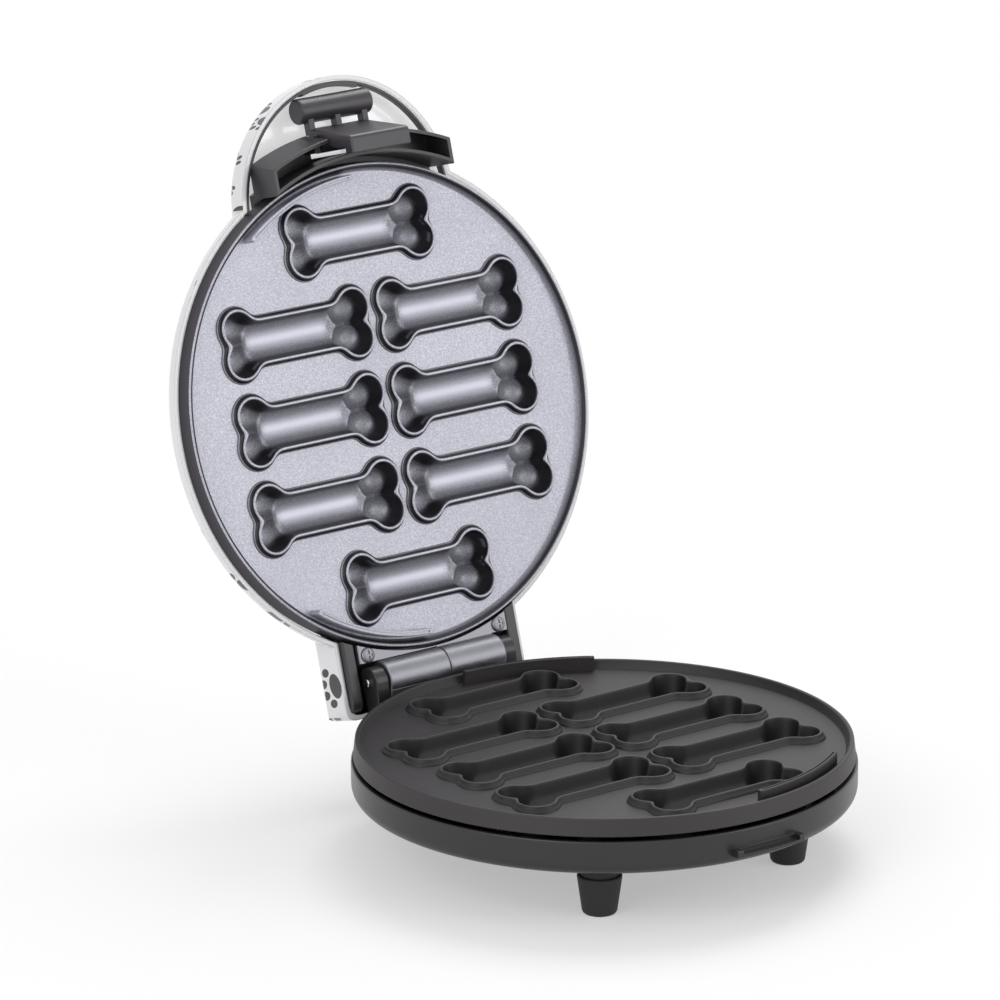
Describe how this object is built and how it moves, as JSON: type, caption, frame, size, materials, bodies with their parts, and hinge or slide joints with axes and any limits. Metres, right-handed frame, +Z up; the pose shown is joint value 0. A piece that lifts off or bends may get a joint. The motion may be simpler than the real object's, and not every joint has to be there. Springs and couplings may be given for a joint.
{
  "type": "bone treat maker",
  "caption": "Round countertop treat maker with its hinged lid open: non-stick plates with bone-shaped wells, black base on stub feet, glossy white domed lid, front squeeze latch.",
  "frame": {"origin": "centre of the box around the open cooker, at the plane its feet stand on", "axes": "+Z up; +X to the right along the hinge as seen from the front; +Y to the rear, where the lid leans back"},
  "size_m": [0.21, 0.303, 0.2874],
  "materials": {
    "black_plastic": "satin black moulded plastic with a fine grain",
    "white_plastic": "glossy white plastic with a scattered black paw pattern",
    "dark_coating": "cast plate with a dark speckled non-stick coating",
    "grey_coating": "cast plate with a grey speckled non-stick coating",
    "cast_zinc": "grey die casting, satin",
    "steel": "bright zinc-plated steel",
    "heater_sheath": "dull steel heater sheath",
    "bright_sheet": "bright thin sheet",
    "black_rubber": "matt black rubber",
    "silicone_sleeve": "heat-proof white silicone sleeve",
    "control_body": "cream heat-proof moulding"
  },
  "bodies": {
    "base": {"bottom_housing": "black_plastic", "lower_plate": "dark_coating", "lower_heater": "heater_sheath", "lower_reflector": "bright_sheet", "cord_gland": "black_rubber", "base_hinge_leaf": "cast_zinc", "hinge_pin": "steel", "thermostat": "control_body", "thermal_fuse": "steel", "foot_front_left": "black_rubber", "foot_front_right": "black_rubber", "foot_rear_left": "black_rubber", "foot_rear_right": "black_rubber", "foot_screw_1": "steel", "foot_screw_2": "steel", "foot_screw_3": "steel", "foot_screw_4": "steel", "lower_plate_screw_1": "steel", "lower_plate_screw_2": "steel", "lower_plate_screw_3": "steel", "lower_plate_screw_4": "steel", "base_hinge_screw_1": "steel", "base_hinge_screw_2": "steel", "lead_heater_to_thermostat": "silicone_sleeve", "lead_heater_to_fuse": "silicone_sleeve", "lead_thermostat_to_gland": "silicone_sleeve", "lead_fuse_to_gland": "silicone_sleeve"},
    "lid": {"lid_shell": "white_plastic", "lid_frame": "black_plastic", "lid_hinge_leaf": "cast_zinc", "latch_pin": "steel", "lid_hinge_screw_left": "steel", "lid_hinge_screw_right": "steel", "upper_plate": "grey_coating", "upper_heater": "heater_sheath", "upper_reflector": "bright_sheet", "lid_lead_left": "silicone_sleeve", "lid_lead_right": "silicone_sleeve", "upper_plate_screw_1": "steel", "upper_plate_screw_2": "steel", "upper_plate_screw_3": "steel", "upper_plate_screw_4": "steel"},
    "latch": {"latch_lever": "black_plastic"}
  },
  "joints": [
    {"name": "lid_hinge", "type": "hinge", "parent": "base", "child": "lid", "pos_m": [0, 0.06657, 0.049], "axis": [1, 0, 0], "range_deg": [0, 106.3]},
    {"name": "latch_squeeze", "type": "hinge", "parent": "lid", "child": "latch", "pos_m": [0, 0.12907, 0.26275], "axis": [-1, 0, 0], "range_deg": [0, 15], "stiffness_Nm_per_rad": 0.3, "springref_deg": -5.73}
  ]
}
